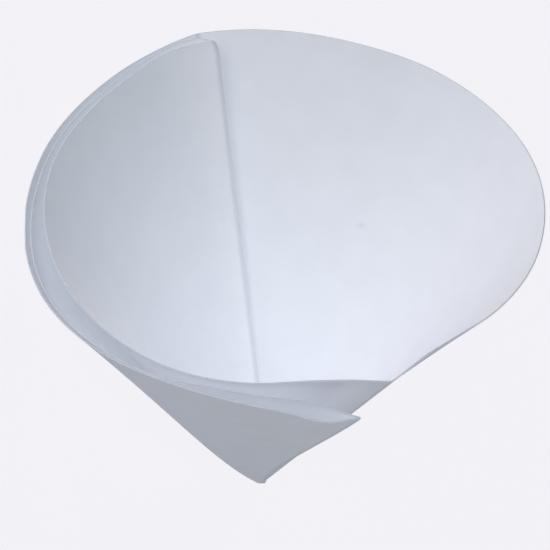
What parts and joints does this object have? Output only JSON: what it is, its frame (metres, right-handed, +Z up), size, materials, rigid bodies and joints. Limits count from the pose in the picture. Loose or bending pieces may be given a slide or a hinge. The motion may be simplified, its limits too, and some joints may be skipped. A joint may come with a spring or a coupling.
{
  "type": "quarter-folded filter paper cone",
  "caption": "Round filter paper folded in half and in half again, opened into a cone with one ply on one side and three on the other, lying on its side.",
  "frame": {"origin": "centre of the bounding box's base, on the table the cone lies on", "axes": "+Z up from the table, -Y the way the mouth faces, +X to the right of someone looking into the mouth; the cone's own axis lies in the YZ plane and rises 32 degrees towards the mouth"},
  "size_m": [0.0776, 0.0752, 0.067],
  "materials": {
    "filter_paper": "matte, uncalendered cellulose paper"
  },
  "bodies": {
    "root": {"filter_paper": "filter_paper"}
  },
  "joints": []
}
